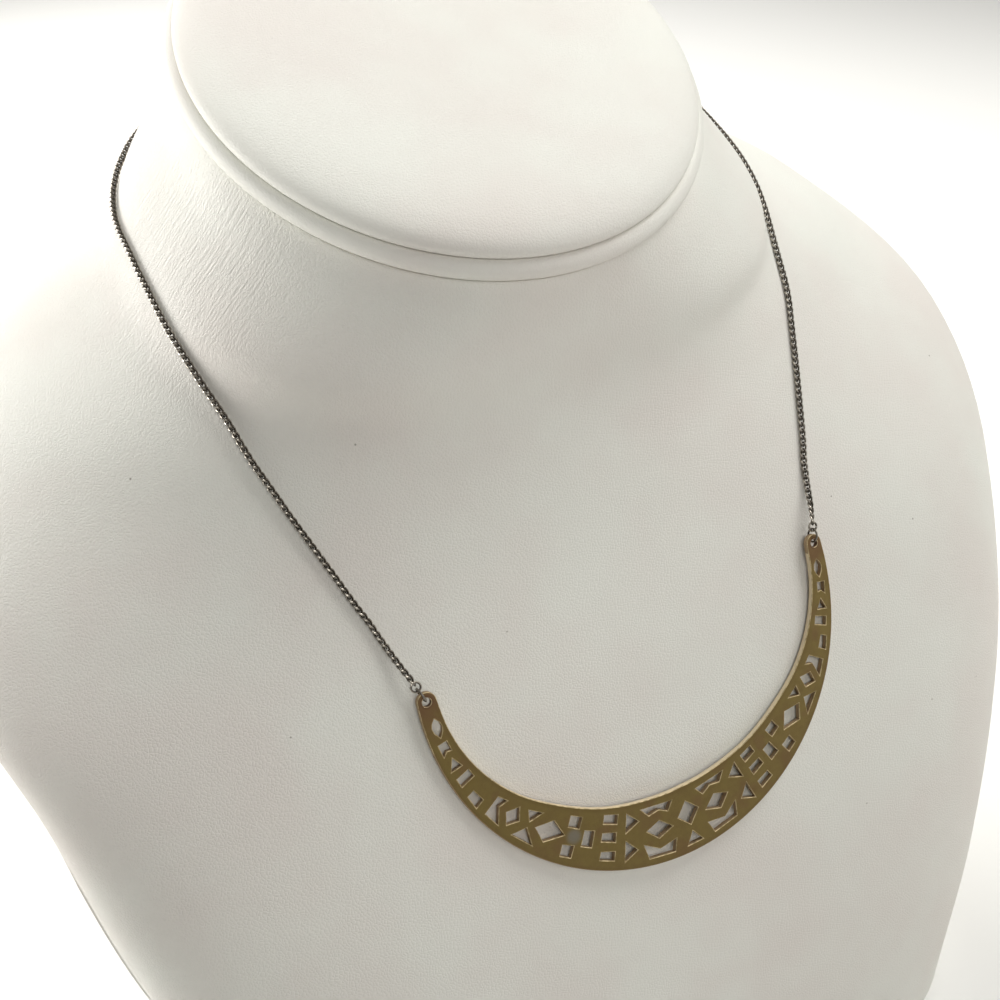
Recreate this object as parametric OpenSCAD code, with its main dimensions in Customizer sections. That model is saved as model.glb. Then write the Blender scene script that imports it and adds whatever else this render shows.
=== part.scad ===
// Crescent pendant necklace on a plain white neck bust.
// Millimetres, +Z up, the front faces -Y.
// The origin is the middle of the bounding box at the table.

/* [Crescent plate] */
// Thickness of the brass plate
plate_thickness = 1.3; // [1:0.1:1.4]
// Radius of the outer edge
plate_radius = 49.8; // [49:0.2:50.6]
// Width of the crescent at its middle
crescent_width = 14.9; // [14.6:0.1:15.8]
// Width of the crescent at its tips
tip_width = 4; // [3.9:0.1:4.4]
// Diameter of the two chain holes
hole_diameter = 1.8; // [1.7:0.05:1.9]
// Radius of the plate's slight bend round the chest
bend_radius = 900; // [850:10:1200]

/* [Chain and rings] */
// Width of the fine curb chain
chain_width = 1.5; // [1.3:0.05:1.6]
// Gap between the chain and the bust
chain_gap = 0.35; // [0.3:0.05:0.5]
// Wire of the jump rings
ring_wire = 0.45; // [0.4:0.01:0.47]
// Length of the clasp's barrel
clasp_length = 7; // [6.5:0.1:7.4]
// Diameter of the clasp's barrel
clasp_diameter = 3; // [2.6:0.1:3.2]

/* [Neck bust] */
// Width over the shoulders
shoulder_width = 258.4; // [254:0.4:264]
// Height of the padded roll under the top
roll_height = 3.8; // [3:0.1:5]
// How far the roll stands out of the neck
roll_bulge = 1.3; // [0.8:0.1:1.8]
// Rise of the top pad above the roll
pad_rise = 5; // [4:0.5:7]

/* [Hidden] */

// Bust sections from the table up to the top of the neck. Columns: height, tilt,
// half width, centre y, front depth, front squareness, back depth, back squareness.
sections = [
    [0, 0, 90, -34.5, 69.4, 3.7, 75, 2.8],
    [40, 0, 102.5, -24, 66, 4.1, 72, 2.9],
    [80, 0, 114.5, -12, 58.5, 4.3, 68, 2.9],
    [116, 2, 120.5, 4, 52.5, 4.5, 63, 2.9],
    [146, 5, 129, 27, 56.5, 2.5, 54.5, 2.7],
    [168, 9, 107.5, 45.5, 66, 2.1, 50, 2.4],
    [184, 13, 78, 49, 65.5, 2.5, 53, 2],
    [196, 15.5, 67.5, 44.5, 60.5, 2.8, 58, 2.1],
    [206, 17, 58, 42.5, 58, 2.4, 60, 2.1],
    [215.5, 18.5, 53.5, 45.5, 61.5, 2, 61.5, 2]
];
last = len(sections) - 1;
stretch = shoulder_width / 258.4;

// The plate's own frame: x right, y into the chest, z up its face, zero at the holes.
plate_lean = 33;
plate_origin = [0, -41.5, 130];
plate_front = 0.1;
arc_drop = 3.4;
hole_angle = 94.2;
hole_inset = 2.3;
// The outer edge draws in by this much towards the tips.
tip_drop = 0.35;
// Share of the full width left at every 15 degrees from the middle.
taper = [1, 0.95, 0.82, 0.65, 0.39, 0.17, 0.03, 0];
hole_x = (plate_radius - hole_inset) * sin(hole_angle);
hole_z = -arc_drop - (plate_radius - hole_inset) * cos(hole_angle);
hole_y = plate_front + plate_thickness / 2 + bend_radius
    - sqrt(bend_radius * bend_radius - hole_x * hole_x);

// Pierced shapes of one half: name, angle from the middle, radius, points as
// [along the arc towards the tip, outwards].
pierced = [
    ["leaf", 87.4, 46.9, [[1.9, 0], [1.1, 0.7], [0.2, 1], [-0.9, 0.8], [-2.1, 0],
        [-1.1, -0.7], [-0.2, -1], [0.9, -0.8]]],
    ["pennant", 81.8, 47, [[1.3, -0.9], [1.2, 1], [-1.4, 0.9], [-0.6, 0], [-0.8, -1]]],
    ["triangle", 76.9, 46.8, [[1.5, -0.2], [-0.8, -1.1], [-0.8, 1.3]]],
    ["oblong", 72.7, 46.5, [[1, -1.5], [0.8, 1.5], [-1.1, 1.5], [-0.8, -1.6]]],
    ["window", 66.8, 47.5, [[1.5, -0.8], [1.4, 0.8], [-1.6, 1], [-1.3, -1]]],
    ["corner", 60.6, 45.8, [[1.6, -1.8], [1.3, 2.3], [-2.4, 2.3], [0.1, -0.4], [-0.5, -2.4]]],
    ["small lozenge", 55.9, 45.1, [[1.7, 0.1], [0, 2.1], [-1.7, 0], [0, -2.2]]],
    ["inner triangle", 51, 42.6, [[1.5, -0.3], [0, 1.5], [-1.5, -1.2]]],
    ["outer triangle", 50.4, 47.2, [[0.3, -1.7], [-2.7, 0.8], [2.4, 0.9]]],
    ["large lozenge", 44.4, 44.1, [[3.3, 0.4], [0.3, 2.4], [-3.4, -0.4], [0.1, -2.3]]],
    ["inner square", 38.1, 40.7, [[1.4, -1], [1.1, 1.3], [-1.4, 1.1], [-1.2, -1.3]]],
    ["outer square", 37.6, 46.8, [[1.4, -1], [1.1, 1.3], [-1.4, 1.1], [-1.2, -1.4]]],
    ["middle square", 32.6, 43.5, [[1.2, -1.6], [1.1, 1.7], [-1.3, 1.6], [-1, -1.8]]],
    ["upper bar", 26.7, 39, [[1.6, -0.8], [1.5, 1], [-1.6, 0.9], [-1.5, -1.1]]],
    ["middle bar", 26.3, 42.8, [[1.6, -0.8], [1.6, 0.9], [-1.7, 0.9], [-1.5, -1.1]]],
    ["lower bar", 25.8, 46.7, [[1.6, -0.8], [1.7, 0.9], [-1.7, 0.9], [-1.6, -1]]],
    ["upper point", 19.8, 39.8, [[1, -1.9], [0.9, 2.1], [-1.9, -0.2]]],
    ["lower point", 19.5, 45.8, [[1, -2.1], [0.9, 2.2], [-1.9, -0.1]]],
    ["upper wing", 10.2, 37.9, [[3.9, -0.8], [2.2, 0.9], [-0.2, 0.1], [-2.4, 0.9],
        [-3.5, -1.1]]],
    ["lozenge", 10, 42.3, [[3.1, -0.2], [0.3, 1.9], [-3.1, 0.1], [0, -1.9]]],
    ["lower wing", 10, 46.6, [[4, -1.7], [3, 1.5], [-3.2, 1.5], [-3.8, -1.3], [0.3, 0]]]
];
middle_lozenge = [[2.6, -0.1], [0, 2.7], [-2.6, 0.1], [0, -2.7]];
middle_triangle = [[0, -1.8], [1.9, 0.9], [-1.9, 0.9]];

// Chain route on the bust's skin from the ring to the clasp. Columns: section,
// angle round the bust (-90 is the front), extra lift off the skin.
route = [
    [3.61, -68.85, 1.1],
    [3.69, -68.5, 0.7],
    [3.78, -68.1, 0.2],
    [3.9, -67.5, 0],
    [4.07, -66.4, 0],
    [4.43, -63.2, 0],
    [4.86, -58.3, 0],
    [5.32, -52, 0],
    [5.78, -43.4, 0],
    [6.14, -35.1, 0],
    [6.48, -26.3, 0],
    [6.69, -16.3, 0],
    [6.74, -7.5, 0],
    [6.74, 0, 0],
    [6.71, 8, 0],
    [6.7, 15.5, 0],
    [6.71, 22, 0],
    [6.72, 30, 0],
    [6.72, 39, 0],
    [6.72, 49, 0],
    [6.72, 58, 0],
    [6.72, 67, 0],
    [6.72, 76, 0.2],
    [6.72, 85.2, 0.7]
];
clasp_section = 6.72;

cap_centre = [0, 45.5, 215.5];
cap_tilt = 18.5;
cap_half_width = 53.5;
cap_half_depth = 61.5;
piece_gap = 0.2;

// Smooth curve through table rows.
function blend(a, b, c, d, t) =
    b + 0.5 * t * (c - a + t * (2 * a - 5 * b + 4 * c - d + t * (3 * (b - c) + d - a)));
function pick(rows, i) =
    i < 0 ? 2 * rows[0] - rows[1]
    : i >= len(rows) ? 2 * rows[len(rows) - 1] - rows[len(rows) - 2]
    : rows[i];
function along(rows, v) =
    let (i = max(0, min(floor(v), len(rows) - 2)))
    blend(pick(rows, i - 1), pick(rows, i), pick(rows, i + 1), pick(rows, i + 2), v - i);

// A point of the bust's skin at a section number and an angle.
function skin(v, angle) =
    let (s = along(sections, v),
        front = sin(angle) < 0,
        n = front ? s[5] : s[7],
        q = pow(pow(abs(cos(angle)), n) + pow(abs(sin(angle)), n), -1 / n),
        w = (front ? s[4] : s[6]) * q * sin(angle))
    [stretch * s[2] * q * cos(angle), s[3] + w * cos(s[1]), s[0] + w * sin(s[1])];
function unit(v) = v / norm(v);
function skin_normal(v, angle) =
    unit(cross(skin(v, angle + 1) - skin(v, angle - 1),
        skin(min(v + 0.02, last), angle) - skin(max(v - 0.02, 0), angle)));

// A solid from rings of equal count, closed by a fan at each end.
module ringed(rings) {
    n = len(rings[0]);
    m = len(rings);
    middle = function (ring) [for (k = [0:2]) min([for (p = ring) p[k]]) / 2
        + max([for (p = ring) p[k]]) / 2];
    points = [for (ring = rings) each ring, middle(rings[0]), middle(rings[m - 1])];
    sides = [for (i = [0:m - 2]) for (j = [0:n - 1])
        let (a = i * n + j, b = i * n + (j + 1) % n)
        each [[a, a + n, b], [b, a + n, b + n]]];
    first = [for (j = [0:n - 1]) [m * n, j, (j + 1) % n]];
    final = [for (j = [0:n - 1]) [m * n + 1, (m - 1) * n + (j + 1) % n, (m - 1) * n + j]];
    polyhedron(points, concat(sides, first, final), convexity = 6);
}

module bust_body() {
    steps = 45;
    turns = 64;
    color("ivory")
    ringed([for (i = [0:steps]) [for (j = [0:turns - 1]) skin(last * i / steps, 360 * j / turns)]]);
}

// An ellipse ring of the top, in the plane of the cap.
function cap_ring(inset, height) =
    [for (j = [0:71])
        let (w = (cap_half_depth - inset) * sin(5 * j))
        cap_centre + [(cap_half_width - inset) * cos(5 * j),
            w * cos(cap_tilt) - height * sin(cap_tilt),
            w * sin(cap_tilt) + height * cos(cap_tilt)]];

module rim_roll() {
    color("ivory")
    ringed([for (a = [-90:22.5:90])
        cap_ring(0.3 - roll_bulge * cos(a) + 0.006 * (a + 90),
            piece_gap + roll_height * (1 + sin(a)) / 2)]);
}

module top_pad() {
    base = roll_height + 2 * piece_gap;
    color("ivory")
    ringed([
        cap_ring(2.2, base),
        cap_ring(1.8, base + 0.1 * pad_rise),
        cap_ring(1.8, base + 0.25 * pad_rise),
        cap_ring(2.3, base + 0.42 * pad_rise),
        cap_ring(3.6, base + 0.58 * pad_rise),
        cap_ring(6, base + 0.72 * pad_rise),
        cap_ring(11, base + 0.85 * pad_rise),
        cap_ring(20, base + 0.94 * pad_rise),
        cap_ring(34, base + pad_rise)
    ]);
}

module in_plate_frame() {
    translate(plate_origin)
    rotate([-plate_lean, 0, 0])
    children();
}

function arc_point(angle, radius) =
    [radius * sin(angle), -arc_drop - radius * cos(angle)];
function drawn_in(angle) =
    let (t = max(0, min(1, (abs(angle) - 58) / 32)))
    tip_drop * t * t * (3 - 2 * t);
function outer_radius(angle) = plate_radius - drawn_in(angle);
function inner_radius(angle) =
    plate_radius - tip_drop - tip_width
    - (crescent_width - tip_drop - tip_width) * along(taper, abs(angle) / 15);
function tip_point(side, turn) =
    arc_point(side * hole_angle, plate_radius - tip_drop - tip_width / 2)
    + tip_width / 2 * [side * sin(hole_angle + turn), -cos(hole_angle + turn)];

// Outline of the crescent with round tips.
outline = concat(
    [for (a = [-90:2:90]) arc_point(a, outer_radius(a))],
    [for (t = [0:15:180]) tip_point(1, t)],
    [for (a = [90:-2:-90]) arc_point(a, inner_radius(a))],
    [for (t = [180:-15:0]) tip_point(-1, t)]
);

module pierced_shape(angle, radius, points, side) {
    centre = arc_point(angle, radius);
    flow = [cos(angle), sin(angle)];
    out = [sin(angle), -cos(angle)];
    polygon([for (p = points) let (q = centre + p[0] * flow + p[1] * out) [side * q[0], q[1]]]);
}

module plate_face() {
    difference() {
        polygon(outline);
        for (side = [-1, 1])
            translate([side * hole_x, hole_z])
            circle(d = hole_diameter, $fn = 48);
        for (side = [-1, 1], shape = pierced)
            pierced_shape(shape[1], shape[2], shape[3], side);
        pierced_shape(0, 41.1, middle_lozenge, 1);
        pierced_shape(0, 47.2, middle_triangle, 1);
    }
}

module crescent_plate() {
    color("darkgoldenrod")
    in_plate_frame()
    intersection() {
        translate([0, 10, 0])
        rotate([90, 0, 0])
        linear_extrude(height = 20)
        plate_face();
        translate([0, plate_front + bend_radius, -60])
        difference() {
            cylinder(h = 70, r = bend_radius, $fn = 720);
            translate([0, 0, -1])
            cylinder(h = 72, r = bend_radius - plate_thickness, $fn = 720);
        }
    }
}

// The rings hang on a line from the hole towards the chain.
ring_lean = 17;
plate_ring_radius = 1.47;
plate_ring_reach = 1.68;
chain_ring_radius = 1;
chain_ring_reach = plate_ring_reach + plate_ring_radius - ring_wire - 0.1
    + chain_ring_radius;

module wire_ring(radius, wire) {
    rotate_extrude($fn = 64)
    translate([radius, 0])
    circle(d = wire, $fn = 24);
}

module at_hole(side, reach) {
    in_plate_frame()
    translate([side * (hole_x + reach * sin(ring_lean)), hole_y, hole_z + reach * cos(ring_lean)])
    rotate([0, side * ring_lean, 0])
    children();
}

module plate_ring(side) {
    color("dimgray")
    at_hole(side, plate_ring_reach)
    rotate([0, 90, 0])
    wire_ring(plate_ring_radius, ring_wire);
}

module chain_ring(side) {
    color("dimgray")
    at_hole(side, chain_ring_reach)
    rotate([90, 0, 0])
    wire_ring(chain_ring_radius, ring_wire);
}

module plate_ring_left() {
    plate_ring(-1);
}

module plate_ring_right() {
    plate_ring(1);
}

module chain_ring_left() {
    chain_ring(-1);
}

module chain_ring_right() {
    chain_ring(1);
}

// The chain's centre line on the skin, then a ring of the tube round it.
function chain_point(v) =
    let (r = along(route, v))
    skin(r[0], r[1]) + (chain_width / 2 + chain_gap + r[2]) * skin_normal(r[0], r[1]);
function chain_ring_points(v) =
    let (r = along(route, v),
        flow = unit(chain_point(min(v + 0.05, len(route) - 1)) - chain_point(max(v - 0.05, 0))),
        side = unit(cross(flow, skin_normal(r[0], r[1]))),
        up = cross(side, flow))
    [for (k = [0:7])
        chain_point(v) + chain_width / 2 * (cos(45 * k) * side + sin(45 * k) * up)];

module chain_right() {
    steps = 64;
    color("dimgray")
    ringed([for (i = [0:steps]) chain_ring_points((len(route) - 1) * i / steps)]);
}

module chain_left() {
    mirror([1, 0, 0])
    chain_right();
}

module clasp() {
    seat = skin(clasp_section, 90);
    normal = skin_normal(clasp_section, 90);
    lean = atan2(normal[2], normal[1]);
    color("dimgray")
    translate(seat + (clasp_diameter / 2 + 0.3) * normal)
    rotate([lean, 0, 0])
    union() {
        rotate([0, 90, 0])
        rotate_extrude($fn = 48)
        polygon([
            [0, -clasp_length / 2],
            [0.25 * clasp_diameter, -clasp_length / 2],
            [0.42 * clasp_diameter, -0.38 * clasp_length],
            [clasp_diameter / 2, -0.2 * clasp_length],
            [clasp_diameter / 2, 0.2 * clasp_length],
            [0.42 * clasp_diameter, 0.38 * clasp_length],
            [0.25 * clasp_diameter, clasp_length / 2],
            [0, clasp_length / 2]
        ]);
        for (side = [-1, 1])
            translate([side * (clasp_length / 2 + 0.8), 0, 0])
            rotate([90, 0, 0])
            wire_ring(0.95, ring_wire);
    }
}

bust_body();
rim_roll();
top_pad();
crescent_plate();
plate_ring_left();
plate_ring_right();
chain_ring_left();
chain_ring_right();
chain_left();
chain_right();
clasp();
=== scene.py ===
import math
import random

import bmesh
import bpy
from mathutils import Matrix, Vector


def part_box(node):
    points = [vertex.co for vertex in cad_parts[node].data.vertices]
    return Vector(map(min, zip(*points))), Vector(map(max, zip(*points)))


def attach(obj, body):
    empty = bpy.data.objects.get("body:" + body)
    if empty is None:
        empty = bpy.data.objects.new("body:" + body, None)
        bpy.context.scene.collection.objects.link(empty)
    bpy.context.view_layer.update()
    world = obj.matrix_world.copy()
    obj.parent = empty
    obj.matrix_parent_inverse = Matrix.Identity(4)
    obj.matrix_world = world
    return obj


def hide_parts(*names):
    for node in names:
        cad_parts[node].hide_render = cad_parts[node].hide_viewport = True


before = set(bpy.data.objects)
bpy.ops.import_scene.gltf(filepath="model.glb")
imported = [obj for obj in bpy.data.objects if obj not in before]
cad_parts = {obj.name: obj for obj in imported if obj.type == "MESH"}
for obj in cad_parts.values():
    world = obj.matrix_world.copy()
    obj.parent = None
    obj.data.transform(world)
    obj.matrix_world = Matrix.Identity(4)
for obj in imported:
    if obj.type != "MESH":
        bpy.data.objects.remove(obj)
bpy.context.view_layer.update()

# A crescent pendant necklace on a leatherette neck bust. Settings are in millimetres
# and degrees, meshes in metres.
mm = 0.001
sides = {"left": -1, "right": 1}  # as seen from the front


def pickRow(rows, index):
    if index < 0:
        return [2 * p - q for p, q in zip(rows[0], rows[1])]
    if index >= len(rows):
        return [2 * p - q for p, q in zip(rows[-1], rows[-2])]
    return rows[index]


def along(rows, spot):  # a smooth curve through the rows of a table
    step = max(0, min(int(spot), len(rows) - 2))
    t = spot - step
    around = [pickRow(rows, step + k) for k in (-1, 0, 1, 2)]
    return [
        b + 0.5 * t * (c - a + t * (2 * a - 5 * b + 4 * c - d + t * (3 * (b - c) + d - a)))
        for a, b, c, d in zip(*around)
    ]


def fade(value, low, high):  # 0 at low and 1 at high, eased
    t = max(0.0, min(1.0, (value - low) / (high - low)))
    return t * t * (3 - 2 * t)


def middleOf(node):
    low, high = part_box(node)
    return (low + high) / 2


def edgesOf(verts):  # each edge once
    return list(dict.fromkeys(edge for vert in verts for edge in vert.link_edges))


def loft(bm, rings):  # extrudes a loop of points through rings of equal count
    column = bm.verts.layers.int.get("column")
    start = bmesh.ops.create_circle(bm, segments=len(rings[0]), radius=mm)["verts"]
    loop = firstLoop = edgesOf(start)
    for index, vert in enumerate(start):
        vert[column] = index
        vert.co = rings[0][index] * mm
    for ring in rings[1:]:
        grown = bmesh.ops.extrude_edge_only(bm, edges=loop)["geom"]
        fresh = {item for item in grown if isinstance(item, bmesh.types.BMVert)}
        loop = [
            item for item in grown
            if isinstance(item, bmesh.types.BMEdge) and fresh.issuperset(item.verts)
        ]
        for vert in fresh:
            vert.co = ring[vert[column]] * mm
    return firstLoop, loop


def loftMesh():
    bm = bmesh.new()
    bm.verts.layers.int.new("column")
    return bm


def closedLoft(rings):
    bm = loftMesh()
    first, last = loft(bm, rings)
    bmesh.ops.contextual_create(bm, geom=first)
    bmesh.ops.contextual_create(bm, geom=last)
    return bm, first


def makePiece(name, bm, material, replaced, sharp=35):
    bmesh.ops.remove_doubles(bm, verts=bm.verts, dist=0.001 * mm)
    bmesh.ops.recalc_face_normals(bm, faces=bm.faces)
    for face in bm.faces:
        face.smooth = True
    for edge in bm.edges:
        edge.smooth = edge.calc_face_angle(0) < math.radians(sharp)
    column = bm.verts.layers.int.get("column")
    if column:
        bm.verts.layers.int.remove(column)
    mesh = bpy.data.meshes.new(name)
    bm.to_mesh(mesh)
    bm.free()
    mesh.materials.append(material)
    piece = bpy.data.objects.new(name, mesh)
    bpy.context.scene.collection.objects.link(piece)
    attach(piece, "root")
    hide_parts(*replaced)
    print(name, len(mesh.polygons), "faces")
    return piece


# Shader nodes
def connect(tree, sockets, values):  # a socket is linked, a plain value is set
    for key, value in values.items():
        if isinstance(value, bpy.types.NodeSocket):
            tree.links.new(value, sockets[key])
        else:
            sockets[key].default_value = value


def place(tree, kind, inputs=None, **settings):
    node = tree.nodes.new(kind)
    for key, value in settings.items():
        setattr(node, key, value)
    connect(tree, node.inputs, inputs or {})
    return node


def maths(tree, operation, *values):
    node = place(tree, "ShaderNodeMath", dict(enumerate(values)), operation=operation)
    return node.outputs[0]


def remap(tree, value, low, high, toLow=0.0, toHigh=1.0):
    inputs = {"Value": value, "From Min": low, "From Max": high, "To Min": toLow, "To Max": toHigh}
    return place(tree, "ShaderNodeMapRange", inputs, interpolation_type="SMOOTHSTEP").outputs[0]


def blendColours(tree, amount, first, second):
    return place(tree, "ShaderNodeMix", {0: amount, 6: first, 7: second}, data_type="RGBA").outputs[2]


def noise(tree, vector, scale, detail=2.0, roughness=0.5):
    inputs = {"Vector": vector, "Scale": scale, "Detail": detail, "Roughness": roughness}
    return place(tree, "ShaderNodeTexNoise", inputs).outputs[0]


def curve(tree, value, spots):
    node = place(tree, "ShaderNodeFloatCurve", {"Value": value})
    line = node.mapping.curves[0]
    line.points[0].location, line.points[-1].location = spots[0], spots[-1]
    for spot in spots[1:-1]:
        line.points.new(*spot)
    node.mapping.update()
    return node.outputs[0]


def attribute(tree, name):
    return place(tree, "ShaderNodeAttribute", attribute_name=name).outputs["Fac"]


def objectPlace(tree):
    return place(tree, "ShaderNodeTexCoord").outputs["Object"]


def newGroup(name, inputs, outputs):
    group = bpy.data.node_groups.new(name, "ShaderNodeTree")
    for socketName, kind in inputs.items():
        group.interface.new_socket(socketName, in_out="INPUT", socket_type="NodeSocket" + kind)
    for socketName in outputs:
        group.interface.new_socket(socketName, in_out="OUTPUT", socket_type="NodeSocketFloat")
    return group, group.nodes.new("NodeGroupInput").outputs, group.nodes.new("NodeGroupOutput").inputs


def useGroup(tree, group, inputs):
    return place(tree, "ShaderNodeGroup", inputs, node_tree=group).outputs


def newMaterial(name, fixed):
    material = bpy.data.materials.new(name)
    material.use_nodes = True
    tree = material.node_tree
    shader = tree.nodes["Principled BSDF"]
    connect(tree, shader.inputs, fixed)
    return material, tree, shader.inputs


# White leatherette
leather = {
    "light": (0.835, 0.835, 0.775, 1),
    "shade": (0.805, 0.765, 0.715, 1),
    "mottleScale": 18.0,
    "mottleRange": (0.35, 0.7),
    "specular": 0.35,
    "roughness": (0.52, 0.64),
    # cells per metre and strength of each piece's grain
    "bustLeather": (1500.0, 0.8),
    "rollLeather": (1700.0, 0.6),
    "padLeather": (1500.0, 0.6),
    "wallWidth": 0.22,
    "toothScale": 2600.0,
    "toothShare": 0.5,
    "grainDepth": 0.05,
    # fine creases on both sides of the neck, each set round its own middle
    "creaseCentre": (62.0, 33.0, 197.0),
    "creaseReach": (33.0, 42.0, 38.0),
    "creaseFade": (1.0, 0.3),  # shares of that reach
    "creaseLean": -41,
    "creaseSize": (0.52, 0.52, 4.5),
    "creaseDepth": 0.19,
    "creaseStrength": 0.8,
    "speckSpread": 90.0,
    "speckSize": (0.026, 0.012),
    "speckColour": (0.42, 0.39, 0.34, 1),
}


# Its grain: cells with soft walls between them, a fine tooth and a faint mottle
def leatherGrain():
    group, given, out = newGroup(
        "leatherGrain", {"Vector": "Vector", "Cells": "Float"}, ("Height", "Mottle"))
    cells = place(group, "ShaderNodeTexVoronoi", {"Vector": given["Vector"], "Scale": given["Cells"]},
                  feature="DISTANCE_TO_EDGE")
    pebble = remap(group, cells.outputs[0], 0.0, leather["wallWidth"])
    tooth = noise(group, given["Vector"], leather["toothScale"], 3.0)
    height = maths(group, "MULTIPLY_ADD", tooth, leather["toothShare"], pebble)
    mottle = noise(group, given["Vector"], leather["mottleScale"], 3.0, 0.6)
    connect(group, out, {"Height": height, "Mottle": mottle})
    return group


def leatherMaterial(name, grain, creased=False):
    cells, strength = leather[name]
    material, tree, sockets = newMaterial(name, {"Specular IOR Level": leather["specular"]})
    spot = objectPlace(tree)
    marks = useGroup(tree, grain, {"Vector": spot, "Cells": cells})
    mottle = remap(tree, marks["Mottle"], *leather["mottleRange"])
    colour = blendColours(tree, mottle, leather["light"], leather["shade"])
    specks = place(tree, "ShaderNodeTexVoronoi", {"Vector": spot, "Scale": leather["speckSpread"]})
    speck = remap(tree, specks.outputs[0], *leather["speckSize"])
    colour = blendColours(tree, speck, colour, leather["speckColour"])
    bump = place(tree, "ShaderNodeBump", {
        "Height": marks["Height"], "Distance": leather["grainDepth"] * mm, "Strength": strength})
    if creased:
        parts = place(tree, "ShaderNodeSeparateXYZ", {0: spot}).outputs
        mirrored = place(tree, "ShaderNodeCombineXYZ", {
            0: maths(tree, "ABSOLUTE", parts[0]), 1: parts[1], 2: parts[2]}).outputs[0]
        near = place(tree, "ShaderNodeMapping", {
            "Vector": mirrored,
            "Location": [c * mm for c in leather["creaseCentre"]],
            "Scale": [c * mm for c in leather["creaseReach"]]}, vector_type="TEXTURE")
        distance = place(tree, "ShaderNodeVectorMath", {0: near.outputs[0]}, operation="LENGTH")
        drawn = place(tree, "ShaderNodeMapping", {
            "Vector": mirrored,
            "Rotation": (0, math.radians(leather["creaseLean"]), 0),
            "Scale": [c * mm for c in leather["creaseSize"]]}, vector_type="TEXTURE").outputs[0]
        streaks = noise(tree, drawn, 1.0, 1.0, 0.4)
        within = remap(tree, distance.outputs["Value"], *leather["creaseFade"])
        creases = maths(tree, "MULTIPLY", streaks, within)
        bump = place(tree, "ShaderNodeBump", {
            "Height": creases, "Distance": leather["creaseDepth"] * mm,
            "Strength": leather["creaseStrength"], "Normal": bump.outputs[0]})
    roughness = remap(tree, marks["Mottle"], 0.3, 0.7, *leather["roughness"])
    connect(tree, sockets, {"Base Color": colour, "Roughness": roughness, "Normal": bump.outputs[0]})
    return material


# The bust
bust = {
    # height, tilt, half width, centre y, front depth, front squareness, back depth, back squareness
    "sections": [
        (0, 0, 90, -34.5, 69.4, 3.7, 75, 2.8),
        (40, 0, 102.5, -24, 66, 4.1, 72, 2.9),
        (80, 0, 114.5, -12, 58.5, 4.3, 68, 2.9),
        (116, 2, 120.5, 4, 52.5, 4.5, 63, 2.9),
        (146, 5, 129, 27, 56.5, 2.5, 54.5, 2.7),
        (168, 9, 107.5, 45.5, 66, 2.1, 50, 2.4),
        (184, 13, 78, 49, 65.5, 2.5, 53, 2),
        (196, 15.5, 67.5, 44.5, 60.5, 2.8, 58, 2.1),
        (206, 17, 58, 42.5, 58, 2.4, 60, 2.1),
        (215.5, 18.5, 53.5, 45.5, 61.5, 2, 61.5, 2),
    ],
    "rowsPerSection": 9,
    "columnStep": 2.5,
    "baseRounding": 1.5,
    "weltAngles": (-152, -28),
    "weltOffsets": (-0.6, -0.45, -0.3, -0.15, 0, 0.15, 0.3, 0.45, 0.6),
    "weltHeight": 0.4,
    "weltWidth": 0.22,
    "weltRoom": 1,  # where its own columns take the place of the even ones
    "weltFoot": (0, 0.1),
    "weltTop": (2.6, 2.95),
}
topLevel = len(bust["sections"]) - 1


def skinPoint(level, angle):
    height, tilt, halfWidth, centreY, *depths = along(bust["sections"], level)
    turn, lean = math.radians(angle), math.radians(tilt)
    depth, square = depths[:2] if math.sin(turn) < 0 else depths[2:]
    reach = (abs(math.cos(turn)) ** square + abs(math.sin(turn)) ** square) ** (-1 / square)
    outward = depth * reach * math.sin(turn)
    return Vector((
        halfWidth * reach * math.cos(turn),
        centreY + outward * math.cos(lean),
        height + outward * math.sin(lean),
    ))


def skinNormal(level, angle):
    around = skinPoint(level, angle + 1) - skinPoint(level, angle - 1)
    upward = skinPoint(min(level + 0.02, topLevel), angle) - skinPoint(max(level - 0.02, 0), angle)
    return around.cross(upward).normalized()


def weltRise(level, angle):  # the folded edge of the chest's covering, low on each side
    near = min(abs(angle - middle) for middle in bust["weltAngles"])
    rise = bust["weltHeight"] * math.exp(-(near / bust["weltWidth"]) ** 2)
    return rise * fade(level, *bust["weltFoot"]) * (1 - fade(level, *bust["weltTop"]))


def buildBust(material):
    even = [k * bust["columnStep"] - 180 for k in range(round(360 / bust["columnStep"]))]
    kept = [a for a in even if min(abs(a - m) for m in bust["weltAngles"]) > bust["weltRoom"]]
    fine = [m + offset for m in bust["weltAngles"] for offset in bust["weltOffsets"]]
    angles = sorted(kept + fine)
    steps = topLevel * bust["rowsPerSection"]
    levels = [topLevel * k / steps for k in range(steps + 1)]
    bm, base = closedLoft([
        [skinPoint(v, a) + weltRise(v, a) * skinNormal(v, a) for a in angles] for v in levels])
    bmesh.ops.bevel(bm, geom=base, offset=bust["baseRounding"] * mm, segments=3, profile=0.5,
                    affect="EDGES", material=-1)
    makePiece("bustSkin", bm, material, ["bust_body"])


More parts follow.
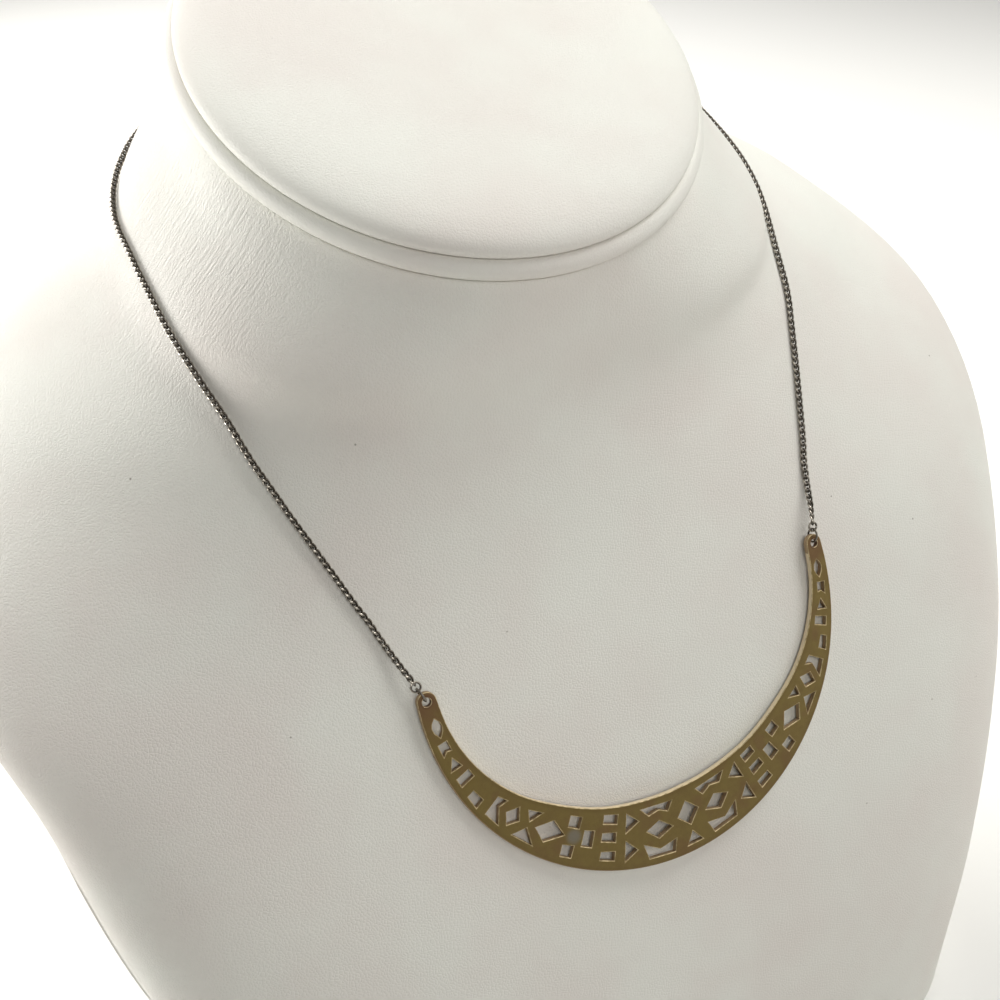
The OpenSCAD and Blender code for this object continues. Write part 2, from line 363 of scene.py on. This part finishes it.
# The padded roll and the pad on top of the neck
cap = {
    "centre": (0, 45.5, 215.5),
    "tilt": 18.5,
    "halfWidth": 53.5,
    "halfDepth": 61.5,
    "columnStep": 2.5,
    "gap": 0.2,
    "rollHeight": 3.8,
    "rollInset": 0.6,
    "rollBulge": 1.885,
    "rollLean": 1.0,
    "rollSteps": 20,
    "rollFlat": 6,  # inset of the roll's hidden flat faces
    "padRise": 5.0,
    "padSteps": 5,
    "padFlat": 8,
    # inset from the cap's edge and share of the rise
    "padProfile": [
        (2.3, -0.02), (1.5, 0.02), (1.2, 0.13), (1.35, 0.29), (2.0, 0.45), (3.2, 0.59), (5.2, 0.71),
        (8.5, 0.82), (14, 0.91), (23, 0.97), (33, 1), (44, 1.012), (51, 1.015)],
}


def capRing(inset, height):
    lean = math.radians(cap["tilt"])
    back = Vector((0, math.cos(lean), math.sin(lean)))
    up = Vector((0, -math.sin(lean), math.cos(lean)))
    ring = []
    for k in range(round(360 / cap["columnStep"])):
        turn = math.radians(k * cap["columnStep"])
        ring.append(
            Vector(cap["centre"]) + height * up
            + Vector(((cap["halfWidth"] - inset) * math.cos(turn), 0, 0))
            + (cap["halfDepth"] - inset) * math.sin(turn) * back)
    return ring


def buildRoll(material):
    rings = [capRing(cap["rollFlat"], cap["gap"])]
    for k in range(cap["rollSteps"] + 1):
        share = k / cap["rollSteps"]
        a = math.radians(180 * share - 90)
        rings.append(capRing(
            cap["rollInset"] - cap["rollBulge"] * math.cos(a) + cap["rollLean"] * share,
            cap["gap"] + cap["rollHeight"] * (1 + math.sin(a)) / 2))
    rings.append(capRing(cap["rollFlat"], cap["gap"] + cap["rollHeight"]))
    bm, _ = closedLoft(rings)
    roll = makePiece("rimRoll", bm, material, ["rim_roll"], sharp=50)


def buildPad(material):
    base = cap["rollHeight"] + 2 * cap["gap"]
    steps = cap["padSteps"] * (len(cap["padProfile"]) - 1)
    profile = [along(cap["padProfile"], k / cap["padSteps"]) for k in range(steps + 1)]
    rings = [capRing(cap["padFlat"], base)]
    rings += [capRing(inset, base + share * cap["padRise"]) for inset, share in profile]
    bm, _ = closedLoft(rings)
    pad = makePiece("topPad", bm, material, ["top_pad"], sharp=60)


# Old metal: a mask of tarnish and a small unevenness
patina = {
    "fineShare": 0.25,
    "tarnishRange": (0.42, 0.85),
    "cloudHeight": 2.0,
    "bumpStrength": 0.4,
}


def metalAge():
    group, given, out = newGroup(
        "metalAge", {"Vector": "Vector", "Cloud": "Float", "Fine": "Float"}, ("Tarnish", "Height"))
    cloud = noise(group, given["Vector"], given["Cloud"], 4.0, 0.6)
    fine = noise(group, given["Vector"], given["Fine"], 2.0)
    mixed = maths(group, "MULTIPLY_ADD", fine, patina["fineShare"], cloud)
    tarnish = remap(group, mixed, *patina["tarnishRange"])
    height = maths(group, "MULTIPLY_ADD", cloud, patina["cloudHeight"], fine)
    connect(group, out, {"Tarnish": tarnish, "Height": height})
    return group


# The pierced plate, in its own frame as in the part: zero between the holes, z up its face
plate = {
    "origin": (0, -41.5, 130),
    "lean": 33,
    "arcDrop": 3.4,
    "radius": 49.8,
    "crescentWidth": 14.9,
    "tipWidth": 4.0,
    "tipDrop": 0.35,
    # share of the full width left at each step, in degrees, from the middle
    "taperStep": 15,
    "taper": [1, 0.95, 0.82, 0.65, 0.39, 0.17, 0.03, 0],
    "hole": (47.37, 0.08),
    "rimRounding": 0.16,
    # walls this near the inner arc, up to this angle, are its inner edge; they get a painted highlight
    "innerReach": 0.25,
    "innerEnd": 92,
    # painted shade: rounded edges along the outer arc keep the walls' colour instead of the pale edge colour
    "outerReach": 0.4,  # a rounded edge this near the outer arc is no paler than its wall
    "mergeGap": 0.005,
    "flatLimit": 4,
    "metallic": 0.5,
    "brass": (0.232, 0.167, 0.05, 1),
    "brown": (0.165, 0.108, 0.036, 1),
    "red": (0.19, 0.095, 0.05, 1),
    # painted shade: near-black red-brown right round the hole, where the ring and its shadow sit
    "holeShade": (0.13, 0.06, 0.035, 1),
    # rounded edges, paler where worn: partly rubbed wear, partly a painted highlight
    "rimWearAndHighlight": (0.70, 0.57, 0.33, 1),
    # painted highlight: the pale colour of the inner edge's wall, where light falls on it
    "innerWallHighlight": (0.80, 0.68, 0.48, 1),
    "wall": (0.38, 0.27, 0.16, 1),
    "stain": (0.24, 0.23, 0.20, 1),
    "stainPlace": (-26.2, -38.2),
    # distances from the outline, a hole or the stain where each mark begins and is full
    "edgeShadeBand": (1.2, 0.2),
    "holeBand": (5.5, 1.2),
    "holeShadeBand": (1.5, 1.0),
    "stainBand": (2.2, 0.7),
    # noise scales, per millimetre
    "cloudScale": 0.22,
    "fineScale": 5.0,
    "redScale": 0.16,
    "redRange": (0.52, 0.68),
    "wearScale": 1.1,
    "wearRange": (0.35, 0.6),
    "wearShare": (0.35, 0.9),
    "roughness": (0.46, 0.6),
    "bumpDepth": 0.02,
}
plateLean = math.radians(plate["lean"])
plateOut = Vector((0, -math.cos(plateLean), math.sin(plateLean)))
tipInset = plate["tipDrop"] + plate["tipWidth"]


def innerRadius(angle):
    share, = along([(s,) for s in plate["taper"]], abs(angle) / plate["taperStep"])
    return plate["radius"] - tipInset - (plate["crescentWidth"] - tipInset) * share


def insetOf(tree, across, z):  # how far a spot lies inside the crescent's outline
    lastStep = len(plate["taper"]) - 1
    drop = maths(tree, "MULTIPLY", maths(tree, "ADD", z, plate["arcDrop"]), -1.0)
    squares = maths(tree, "ADD", maths(tree, "POWER", across, 2.0), maths(tree, "MULTIPLY", drop, drop))
    radius = maths(tree, "SQRT", squares)
    turn = maths(tree, "MULTIPLY", maths(tree, "ARCTAN2", across, drop),
                 180 / math.pi / (lastStep * plate["taperStep"]))
    share = curve(tree, turn, [(k / lastStep, s) for k, s in enumerate(plate["taper"])])
    inner = maths(tree, "MULTIPLY_ADD", share, tipInset - plate["crescentWidth"], plate["radius"] - tipInset)
    outerGap = maths(tree, "SUBTRACT", plate["radius"], radius)
    return maths(tree, "MINIMUM", outerGap, maths(tree, "SUBTRACT", radius, inner))


def brassMaterial(age):
    material, tree, sockets = newMaterial("antiqueBrass", {"Metallic": plate["metallic"]})
    inPlate = place(tree, "ShaderNodeMapping", {
        "Vector": objectPlace(tree),
        "Location": [c * mm for c in plate["origin"]],
        "Rotation": (-plateLean, 0, 0),
        "Scale": (mm, mm, mm)}, vector_type="TEXTURE").outputs[0]
    x, _, z = place(tree, "ShaderNodeSeparateXYZ", {0: inPlate}).outputs
    across = maths(tree, "ABSOLUTE", x)
    # painted shade: the face darker towards its outline
    edge = remap(tree, insetOf(tree, across, z), *plate["edgeShadeBand"])
    toHole = maths(tree, "SQRT", maths(
        tree, "ADD",
        maths(tree, "POWER", maths(tree, "SUBTRACT", across, plate["hole"][0]), 2.0),
        maths(tree, "POWER", maths(tree, "SUBTRACT", z, plate["hole"][1]), 2.0)))
    nearHole = remap(tree, toHole, *plate["holeBand"])
    # painted shade round the hole
    paintedHoleShade = remap(tree, toHole, *plate["holeShadeBand"])
    marks = useGroup(
        tree, age, {"Vector": inPlate, "Cloud": plate["cloudScale"], "Fine": plate["fineScale"]})
    redness = remap(tree, noise(tree, inPlate, plate["redScale"]), *plate["redRange"])
    toStain = place(tree, "ShaderNodeVectorMath", {
        0: place(tree, "ShaderNodeCombineXYZ", {0: x, 2: z}).outputs[0],
        1: (plate["stainPlace"][0], 0, plate["stainPlace"][1])}, operation="DISTANCE")
    stain = remap(tree, toStain.outputs["Value"], *plate["stainBand"])
    wear = noise(tree, inPlate, plate["wearScale"], 3.0)
    worn = remap(tree, wear, *plate["wearRange"], *plate["wearShare"])
    colour = plate["brass"]
    for amount, mark, other in (
        (0.5, marks["Tarnish"], "brown"),
        (0.35, redness, "red"),
        # painted shade along the outline, in the tarnish's brown
        (0.4, edge, "brown"),
        (0.6, nearHole, "red"),
        (0.7, stain, "stain"),
        (1.0, attribute(tree, "wall"), "wall"),
        # painted highlight on the inner edge's wall
        (1.0, attribute(tree, "innerWallHighlight"), "innerWallHighlight"),
        # painted shade round the hole
        (0.9, paintedHoleShade, "holeShade"),
    ):
        colour = blendColours(tree, maths(tree, "MULTIPLY", mark, amount), colour, plate[other])
    # rounded edges paler where worn: rubbed wear and a painted highlight
    colour = blendColours(tree, maths(tree, "MULTIPLY", attribute(tree, "rimWearAndHighlight"), worn), colour, plate["rimWearAndHighlight"])
    roughness = remap(tree, marks["Tarnish"], 0.0, 1.0, *plate["roughness"])
    bump = place(tree, "ShaderNodeBump", {
        "Height": marks["Height"], "Distance": plate["bumpDepth"] * mm,
        "Strength": patina["bumpStrength"]})
    connect(tree, sockets, {"Base Color": colour, "Roughness": roughness, "Normal": bump.outputs[0]})
    return material


# The plate is the part's own mesh, with its stamped edges rounded
def buildPlate(material):
    bm = bmesh.new()
    bm.from_mesh(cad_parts["crescent_plate"].data)
    bmesh.ops.remove_doubles(bm, verts=bm.verts, dist=plate["mergeGap"] * mm)

    def onFace(face):
        return abs(face.normal.dot(plateOut)) > 0.95

    def inPlate(face):  # angle and radius about the middle of the outer arc
        spot = face.calc_center_median() / mm - Vector(plate["origin"])
        drop = -math.sin(plateLean) * spot.y - math.cos(plateLean) * spot.z - plate["arcDrop"]
        return math.degrees(math.atan2(spot.x, drop)), math.hypot(spot.x, drop)

    def onInnerEdge(face):  # the wall of the crescent's inner edge, not of an opening
        angle, radius = inPlate(face)
        near = abs(radius - innerRadius(angle)) < plate["innerReach"]
        return near and abs(angle) < plate["innerEnd"]

    def onOuterEdge(face):
        return inPlate(face)[1] > plate["radius"] - plate["outerReach"]

    flat = [e for e in bm.edges if all(onFace(f) for f in e.link_faces)]
    bmesh.ops.dissolve_limit(bm, angle_limit=math.radians(plate["flatLimit"]), verts=[], edges=flat)
    bm.normal_update()
    rims = [e for e in bm.edges if sum(onFace(f) for f in e.link_faces) == 1]
    layers = {name: bm.faces.layers.float.new(name) for name in ("rimWearAndHighlight", "wall", "innerWallHighlight")}
    for face in bm.faces:
        if not onFace(face):
            # the inner edge's wall is marked for the painted highlight, other walls for the walls' colour
            face[layers["innerWallHighlight" if onInnerEdge(face) else "wall"]] = 1.0
    made = bmesh.ops.bevel(bm, geom=rims, offset=plate["rimRounding"] * mm, segments=2,
                           profile=0.5, affect="EDGES", material=-1)
    for face in made["faces"]:
        # painted shade: rounded edges near the outer arc take the walls' colour, not the pale edge colour
        kept = "wall" if onOuterEdge(face) else "rimWearAndHighlight"
        for name, layer in layers.items():
            face[layer] = 1.0 if name == kept else 0.0
    piece = makePiece("crescentPlate", bm, material, ["crescent_plate"], sharp=50)
    weighted = piece.modifiers.new("weightedNormals", "WEIGHTED_NORMAL")
    weighted.keep_sharp = True
    weighted.weight = 100


# The dark metal of the rings, the chain and the clasp
darkMetal = {
    "dark": (0.085, 0.07, 0.054, 1),
    "rubbed": (0.68, 0.63, 0.55, 1),
    "cloudScale": 900.0,
    "fineScale": 6000.0,
    "cleanRange": (0.9, 0.2),
    "cleanShare": (0.45, 1.0),
    "roughness": (0.38, 0.25),
    "bumpDepth": 0.01,
}


def darkMetalMaterial(name, age):
    material, tree, sockets = newMaterial(name, {"Metallic": 1.0})
    marks = useGroup(tree, age, {
        "Vector": objectPlace(tree), "Cloud": darkMetal["cloudScale"], "Fine": darkMetal["fineScale"]})
    clean = remap(tree, marks["Tarnish"], *darkMetal["cleanRange"], *darkMetal["cleanShare"])
    worn = maths(tree, "MULTIPLY", attribute(tree, "rubbed"), clean)
    colour = blendColours(tree, worn, darkMetal["dark"], darkMetal["rubbed"])
    roughness = remap(tree, worn, 0.0, 1.0, *darkMetal["roughness"])
    bump = place(tree, "ShaderNodeBump", {
        "Height": marks["Height"], "Distance": darkMetal["bumpDepth"] * mm,
        "Strength": patina["bumpStrength"]})
    connect(tree, sockets, {"Base Color": colour, "Roughness": roughness, "Normal": bump.outputs[0]})
    return material


# Jump rings
rings = {
    "wire": 0.45,
    "plateRadius": 1.47,
    "chainRadius": 1.0,
    "plateShine": 0.35,  # the rings in the plate are less rubbed
    "rubbedReach": (-0.4, 0.9),  # shares of the wire's radius, outwards
    "slit": 6,
    "turnSteps": 28,
    "wireSides": 10,
}


def addRing(bm, centre, axis, away, radius, slit):
    spoke = away.cross(axis).normalized() if slit else away
    profile = bmesh.ops.create_circle(
        bm, segments=rings["wireSides"], radius=rings["wire"] / 2 * mm)["verts"]
    tangent = axis.cross(spoke).normalized()
    across = Matrix((spoke, axis, tangent)).transposed().to_4x4()
    across.translation = centre + spoke * radius * mm
    bmesh.ops.transform(bm, matrix=across, verts=profile)
    edges = edgesOf(profile)
    if slit:
        bmesh.ops.contextual_create(bm, geom=edges)
    grown = bmesh.ops.spin(
        bm, geom=edges, cent=centre, axis=axis, angle=math.radians(360 - slit),
        steps=rings["turnSteps"], use_merge=not slit, use_duplicate=False)
    if slit:
        bmesh.ops.contextual_create(
            bm, geom=[e for e in grown["geom_last"] if isinstance(e, bmesh.types.BMEdge)])


def buildRings(material):
    for name in sides:
        lower = middleOf("plate_ring_" + name)
        upper = middleOf("chain_ring_" + name)
        away = (upper - lower).normalized()
        acrossAxis = away.cross(plateOut).normalized()
        for node, centre, axis, radius, shine in (
            ("plate_ring_", lower, acrossAxis, rings["plateRadius"], rings["plateShine"]),
            ("chain_ring_", upper, plateOut, rings["chainRadius"], 1.0),
        ):
            bm = bmesh.new()
            rubbed = bm.verts.layers.float.new("rubbed")
            addRing(bm, centre, axis, away, radius, rings["slit"])
            for vert in bm.verts:
                out = ((vert.co - centre).length / mm - radius) / (rings["wire"] / 2)
                vert[rubbed] = shine * fade(out, *rings["rubbedReach"])
            makePiece(node.replace("_ring_", "Ring") + name.capitalize(), bm, material,
                      [node + name])


# The curb chain, link through link, along the route of the part's chain
chain = {
    # section, angle round the bust, extra lift off the skin
    "route": [
        (3.61, -68.85, 1.1), (3.69, -68.5, 0.7), (3.78, -68.1, 0.2), (3.9, -67.5, 0),
        (4.07, -66.4, 0), (4.43, -63.2, 0), (4.86, -58.3, 0), (5.32, -52, 0),
        (5.78, -43.4, 0), (6.14, -35.1, 0), (6.48, -26.3, 0), (6.69, -16.3, 0),
        (6.74, -7.5, 0), (6.74, 0, 0), (6.71, 8, 0), (6.7, 15.5, 0), (6.71, 22, 0),
        (6.72, 30, 0), (6.72, 39, 0), (6.72, 49, 0), (6.72, 58, 0), (6.72, 67, 0),
        (6.72, 76, 0.2), (6.72, 85.2, 0.7),
    ],
    # a link's middle over the skin at both ends; between them the links lie on the skin
    "endRise": 1.1,
    "skinGap": 0.06,
    "halfThickness": 0.53,
    "settle": (1, 4),
    "unsettle": (20, 23),
    "wire": 0.46,
    "halfLength": 1.2,
    "halfWidth": 0.555,
    "squareness": 2.25,
    "twist": -66,
    "slack": 0.44,
    "turnSteps": 12,
    "wireSides": 6,
    "rubbedRadius": (0.5, 0.76),
    "endGap": 0.12,
    "routeSteps": 40,
    # how far the links turn out of the skin, at every third place of the route
    "rollEvery": 3,
    "rolls": {
        "left": [0, -40, -50, -68, -92, -100, -95, -60, 0],
        "right": [0, -34, -12, -38, -70, -85, -85, -60, 0],
    },
    "endRoll": -45,
    "endLinks": 5,
    "unevenRoll": 2,
    "seed": 11,
}


def routePoint(spot, name):
    level, angle, lift = along(chain["route"], spot)
    normal = skinNormal(level, angle)
    roll, = along([(r,) for r in chain["rolls"][name]], spot / chain["rollEvery"])
    turn = math.radians(roll)
    reach = chain["halfWidth"] + chain["wire"] / 2
    lying = chain["skinGap"] + math.hypot(reach * math.sin(turn), chain["halfThickness"] * math.cos(turn))
    settled = fade(spot, *chain["settle"]) - fade(spot, *chain["unsettle"])
    rise = lift + chain["endRise"] + (lying - chain["endRise"]) * settled
    return skinPoint(level, angle) + rise * normal, normal, roll


def linkCurve(turn):
    c, s = math.cos(turn), math.sin(turn)
    power = 2 / chain["squareness"]
    x = chain["halfLength"] * math.copysign(abs(c) ** power, c)
    y = chain["halfWidth"] * math.copysign(abs(s) ** power, s)
    roll = math.radians(chain["twist"]) * x / chain["halfLength"]
    return Vector((x, y * math.cos(roll), y * math.sin(roll))), roll


def linkRing(turn):
    centre, roll = linkCurve(turn)
    ahead, _ = linkCurve(turn + 0.02)
    behind, _ = linkCurve(turn - 0.02)
    flow = (ahead - behind).normalized()
    across = flow.cross(Vector((0, -math.sin(roll), math.cos(roll)))).normalized()
    up = across.cross(flow)
    ring = []
    for k in range(chain["wireSides"]):
        a = 2 * math.pi * k / chain["wireSides"]
        ring.append(centre + chain["wire"] / 2 * (math.cos(a) * across + math.sin(a) * up))
    return ring


def lengthsAlong(spots):
    lengths = [0.0]
    for a, b in zip(spots, spots[1:]):
        lengths.append(lengths[-1] + (b - a).length)
    return lengths


def linkTurns():  # even steps along the link's wire
    fineSteps = 720
    lengths = lengthsAlong([linkCurve(2 * math.pi * k / fineSteps)[0] for k in range(fineSteps + 1)])
    turns = []
    for k in range(chain["turnSteps"]):
        wanted = lengths[-1] * k / chain["turnSteps"]
        index = next(i for i, length in enumerate(lengths) if length >= wanted)
        turns.append(2 * math.pi * index / fineSteps)
    return turns


def linkStations(name):  # middle, direction, normal and roll of each link
    ringMiddle = middleOf("chain_ring_right") / mm
    away = (ringMiddle - middleOf("plate_ring_right") / mm).normalized()
    inRing = rings["chainRadius"] - rings["wire"] / 2 - chain["wire"] / 2 - chain["endGap"]
    steps = chain["routeSteps"] * (len(chain["route"]) - 1)
    points = [(ringMiddle + inRing * away, routePoint(0, name)[1], 0)]
    points += [routePoint(k / chain["routeSteps"], name) for k in range(steps + 1)]
    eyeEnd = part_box("clasp")[1].x / mm - rings["wire"] - chain["wire"] / 2 - chain["endGap"]
    claspMiddle = middleOf("clasp") / mm
    points.append((Vector((eyeEnd, claspMiddle.y, claspMiddle.z)), *points[-1][1:]))
    lengths = lengthsAlong([spot for spot, _, _ in points])

    def at(wanted):
        last = len(lengths) - 2
        i = next(i for i in range(last + 1) if lengths[i + 1] >= wanted or i == last)
        share = (wanted - lengths[i]) / (lengths[i + 1] - lengths[i])
        a, b = points[i], points[i + 1]
        return a[0].lerp(b[0], share), a[1].lerp(b[1], share), a[2] + share * (b[2] - a[2])

    half = chain["halfLength"]
    pitch = 2 * half - chain["wire"] - chain["slack"]
    count = math.ceil((lengths[-1] - 2 * half) / pitch) + 1
    stations = []
    for k in range(count):
        middle = half + (lengths[-1] - 2 * half) * k / (count - 1)
        spot, normal, roll = at(middle)
        flow = (at(middle + 0.9 * half)[0] - at(middle - 0.9 * half)[0]).normalized()
        stations.append((spot, flow, normal, roll))
    return stations


def linkFrame(spot, flow, normal, roll, side):  # the path is mirrored, the links' lay is not
    spot, flow, normal = (Vector((side * v.x, v.y, v.z)) for v in (spot, flow, normal))
    across = normal.cross(flow).normalized()
    up = flow.cross(across)
    turned = math.cos(roll) * across + math.sin(roll) * up
    matrix = Matrix((flow, turned, flow.cross(turned))).transposed().to_4x4()
    matrix.translation = spot * mm
    return matrix


def buildChain(name, side, material):
    randomRoll = random.Random(chain["seed"] + side)
    bm = loftMesh()
    rubbed = bm.verts.layers.float.new("rubbed")
    first, last = loft(bm, [linkRing(turn) for turn in linkTurns()])
    bmesh.ops.bridge_loops(bm, edges=first + last)
    bmesh.ops.recalc_face_normals(bm, faces=bm.faces)
    for vert in bm.verts:
        out = math.hypot(vert.co.y, vert.co.z) / mm
        vert[rubbed] = fade(out, *chain["rubbedRadius"])
    master = bm.verts[:] + bm.edges[:] + bm.faces[:]
    stations = linkStations(name)
    for index, (spot, flow, normal, roll) in enumerate(stations):
        copy = bmesh.ops.duplicate(bm, geom=master)["geom"]
        fromStart = max(0, 1 - index / chain["endLinks"])
        fromEnd = max(0, 1 - (len(stations) - 1 - index) / chain["endLinks"])
        roll = side * roll + chain["endRoll"] * (fromEnd - fromStart)
        roll += randomRoll.uniform(-chain["unevenRoll"], chain["unevenRoll"])
        bmesh.ops.transform(
            bm, matrix=linkFrame(spot, flow, normal, math.radians(roll), side),
            verts=[item for item in copy if isinstance(item, bmesh.types.BMVert)])
    bmesh.ops.delete(bm, geom=[v for v in master if isinstance(v, bmesh.types.BMVert)], context="VERTS")
    print(name, len(stations), "links")
    makePiece("curbChain" + name.capitalize(), bm, material, ["chain_" + name], sharp=80)


# The clasp behind the neck: a turned barrel with an eye at each end
clasp = {
    "section": 6.72,
    "length": 7,
    "diameter": 3,
    # share of the radius and share of the length from the middle
    "profile": [
        (0.0, -0.5), (0.5, -0.5), (0.66, -0.45), (0.84, -0.38), (0.95, -0.28), (1, -0.2),
        (1, -0.05), (0.93, -0.035), (0.93, 0.035), (1, 0.05), (1, 0.2), (0.95, 0.28),
        (0.84, 0.38), (0.66, 0.45), (0.5, 0.5), (0.0, 0.5)],
    "turnSteps": 32,
    "eyeRadius": 0.95,
    "eyePlace": 4.3,
    "shine": 0.5,
}


def buildClasp(material):
    bm = bmesh.new()
    rubbed = bm.verts.layers.float.new("rubbed")
    middle = middleOf("clasp")
    rows = [
        bm.verts.new(middle + Vector((share * clasp["length"], 0, radius * clasp["diameter"] / 2)) * mm)
        for radius, share in clasp["profile"]]
    edges = [bm.edges.new(pair) for pair in zip(rows, rows[1:])]
    bmesh.ops.spin(bm, geom=rows + edges, cent=middle, axis=(1, 0, 0), angle=math.tau,
                   steps=clasp["turnSteps"], use_merge=True, use_duplicate=False)
    normal = skinNormal(clasp["section"], 90)
    for side in sides.values():
        addRing(bm, middle + Vector((side * clasp["eyePlace"] * mm, 0, 0)), normal,
                Vector((side, 0, 0)), clasp["eyeRadius"], slit=0)
    for vert in bm.verts:
        vert[rubbed] = clasp["shine"]
    makePiece("barrelClasp", bm, material, ["clasp"], sharp=50)


# Floor, light and camera
stage = {
    "floorSize": 8000,
    "floorRoughness": 0.7,
    "floorCloud": 3.0,
    "floorLight": (0.93, 0.925, 0.90, 1),
    "floorShade": (0.90, 0.895, 0.87, 1),
    "world": (1.0, 0.985, 0.955, 1),
    "worldStrength": 0.1,
    "aim": (0, 0, 150),
    # name, place, width, power, colour
    "lights": [
        ("leftBackLight", (-650, 650, 500), 600, 3.8, (1.0, 0.98, 0.955)),
        ("leftLowLight", (-750, 500, 260), 400, 5.1, (1.0, 0.975, 0.95)),
        ("backTopLight", (0, 800, 700), 600, 6.6, (1.0, 0.99, 0.965)),
        ("rightTopLight", (550, 100, 850), 600, 5.6, (1.0, 0.995, 0.97)),
        ("frontTopLight", (-100, -650, 850), 600, 2.4, (1.0, 0.985, 0.95)),
        ("rightFrontLight", (700, -600, 450), 600, 1.0, (1.0, 0.985, 0.95)),
    ],
}


def buildFloor():
    bm = bmesh.new()
    bmesh.ops.create_grid(bm, x_segments=8, y_segments=8, size=stage["floorSize"] / 2 * mm)
    mesh = bpy.data.meshes.new("floor")
    bm.to_mesh(mesh)
    bm.free()
    material, tree, sockets = newMaterial("paleFloor", {"Roughness": stage["floorRoughness"]})
    cloud = noise(tree, objectPlace(tree), stage["floorCloud"])
    colour = blendColours(tree, cloud, stage["floorLight"], stage["floorShade"])
    connect(tree, sockets, {"Base Color": colour})
    mesh.materials.append(material)
    floor = bpy.data.objects.new("floor", mesh)
    bpy.context.scene.collection.objects.link(floor)


def buildLights():
    for name, spot, width, power, colour in stage["lights"]:
        data = bpy.data.lights.new(name, "AREA")
        data.shape = "DISK"
        data.size = width * mm
        data.energy = power
        data.color = colour
        light = bpy.data.objects.new(name, data)
        light.location = Vector(spot) * mm
        towards = Vector(stage["aim"]) - Vector(spot)
        light.rotation_euler = towards.to_track_quat("-Z", "Y").to_euler()
        bpy.context.scene.collection.objects.link(light)
    world = bpy.data.worlds.new("softRoom")
    world.use_nodes = True
    background = world.node_tree.nodes["Background"].inputs
    background["Color"].default_value = stage["world"]
    background["Strength"].default_value = stage["worldStrength"]
    bpy.context.scene.world = world
    bpy.context.scene.view_settings.view_transform = "Standard"


camera = {
    "place": (-96.4, -168.2, 295.5),
    "turn": 27.14,
    "down": 40.3,
    "roll": -0.95,
    "lens": 39.6,
    "sensor": 36,
    "nearest": 10,
}


def buildCamera():
    data = bpy.data.cameras.new("camera")
    data.sensor_width = camera["sensor"]
    data.lens = camera["lens"]
    data.clip_start = camera["nearest"] * mm
    turn, tip, roll = (
        math.radians(-camera["turn"]), math.radians(90 - camera["down"]), math.radians(camera["roll"]))
    matrix = Matrix.Rotation(turn, 4, "Z") @ Matrix.Rotation(tip, 4, "X") @ Matrix.Rotation(roll, 4, "Z")
    matrix.translation = Vector(camera["place"]) * mm
    viewer = bpy.data.objects.new("camera", data)
    viewer.matrix_world = matrix
    bpy.context.scene.collection.objects.link(viewer)
    bpy.context.scene.camera = viewer


grain = leatherGrain()
age = metalAge()
buildBust(leatherMaterial("bustLeather", grain, creased=True))
buildRoll(leatherMaterial("rollLeather", grain))
buildPad(leatherMaterial("padLeather", grain))
print("bust built")
buildPlate(brassMaterial(age))
buildRings(darkMetalMaterial("ringMetal", age))
chainMetal = darkMetalMaterial("chainMetal", age)
for name, side in sides.items():
    buildChain(name, side, chainMetal)
buildClasp(darkMetalMaterial("claspMetal", age))
print("necklace built")
buildFloor()
buildLights()
buildCamera()
print("floor, light and camera placed")
